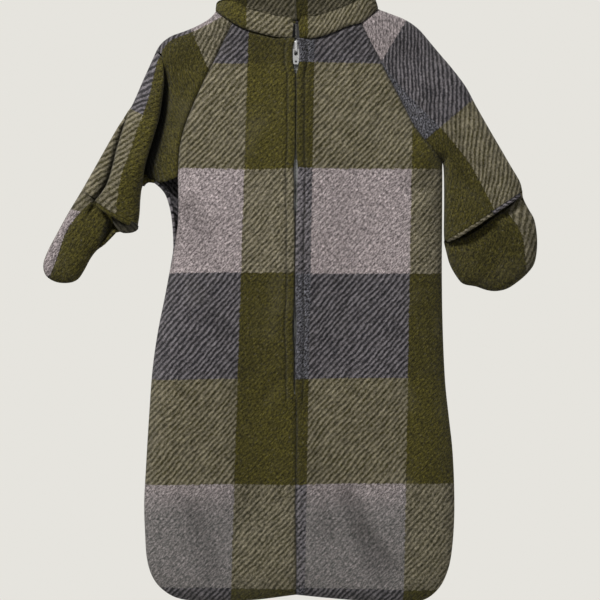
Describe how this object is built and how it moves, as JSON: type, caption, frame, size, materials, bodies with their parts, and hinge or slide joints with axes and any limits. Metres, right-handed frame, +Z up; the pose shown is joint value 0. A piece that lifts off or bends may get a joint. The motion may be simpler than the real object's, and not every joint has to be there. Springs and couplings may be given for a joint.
{
  "type": "baby sleeping bag",
  "caption": "Wearable baby sleeping bag in brushed plaid fleece: closed sack, raglan sleeves, stand-up collar, front zip and fold-over mittens.",
  "frame": {"origin": "middle of the neck opening, level with the tops of the shoulders, where a hanger carries the bag", "axes": "+Z up along the length, +X to the right seen from the front, +Y to the back; the zip faces -Y"},
  "size_m": [0.5448, 0.0499, 0.6699],
  "materials": {
    "plaid_fleece": "brushed double-faced fleece in an olive, grey and navy plaid",
    "zip_tape": "dark woven polyester tape",
    "zip_coil": "moulded polyester coil",
    "zip_metal": "nickel plate, lightly worn",
    "label_cloth": "blank woven satin label"
  },
  "bodies": {
    "bag": {"back_panel": "plaid_fleece", "front_left_panel": "plaid_fleece", "front_right_panel": "plaid_fleece", "sleeve_left": "plaid_fleece", "sleeve_right": "plaid_fleece", "sleeve_left_hem": "plaid_fleece", "sleeve_right_hem": "plaid_fleece", "collar_back": "plaid_fleece", "zip_tape_foot_left": "zip_tape", "zip_tape_foot_right": "zip_tape", "zip_coil_foot": "zip_coil", "zip_bottom_stop": "zip_metal", "neck_label": "label_cloth", "care_label": "label_cloth"},
    "front_edge_left": {"front_left_edge": "plaid_fleece", "collar_left": "plaid_fleece", "zip_tape_left": "zip_tape", "zip_coil_left": "zip_coil", "zip_top_stop_left": "zip_metal"},
    "front_edge_right": {"front_right_edge": "plaid_fleece", "collar_right": "plaid_fleece", "zip_tape_right": "zip_tape", "zip_coil_right": "zip_coil", "zip_top_stop_right": "zip_metal"},
    "slider": {"zip_slider_body": "zip_metal", "zip_slider_bridge": "zip_metal", "zip_lock_spring": "zip_metal"},
    "pull": {"zip_pull": "zip_metal"},
    "mitten_left": {"mitten_left_front": "plaid_fleece", "mitten_left_back": "plaid_fleece"},
    "mitten_right": {"mitten_right_front": "plaid_fleece", "mitten_right_back": "plaid_fleece"}
  },
  "joints": [
    {"name": "zip_slide", "type": "slide", "parent": "bag", "child": "slider", "axis": [0, 0, -1], "range_m": [0, 0.369], "deforming": ["zip_tape_left", "zip_tape_right", "zip_coil_left", "zip_coil_right"]},
    {"name": "pull_swing", "type": "hinge", "parent": "slider", "child": "pull", "pos_m": [0, -0.02485, -0.0445], "axis": [-1, 0, 0], "range_deg": [0, 150]},
    {"name": "front_left_opening", "type": "hinge", "parent": "bag", "child": "front_edge_left", "pos_m": [0, -0.023, -0.421], "axis": [0.1474, 0, -0.9891], "range_deg": [0, 120]},
    {"name": "front_right_opening", "type": "hinge", "parent": "bag", "child": "front_edge_right", "pos_m": [0, -0.023, -0.421], "axis": [0.1474, 0, 0.9891], "range_deg": [0, 120]},
    {"name": "mitten_left_fold", "type": "hinge", "parent": "bag", "child": "mitten_left", "pos_m": [-0.202, 0.023, -0.2185], "axis": [0.8341, 0, -0.5516], "range_deg": [0, 150]},
    {"name": "mitten_right_fold", "type": "hinge", "parent": "bag", "child": "mitten_right", "pos_m": [0.209, 0.023, -0.223], "axis": [0.8352, 0, 0.55], "range_deg": [0, 150]}
  ],
  "couplings": [
    {"joint": "front_left_opening", "follows": "zip_slide", "rad_per_m": 5.6},
    {"joint": "front_right_opening", "follows": "zip_slide", "rad_per_m": 5.6}
  ]
}
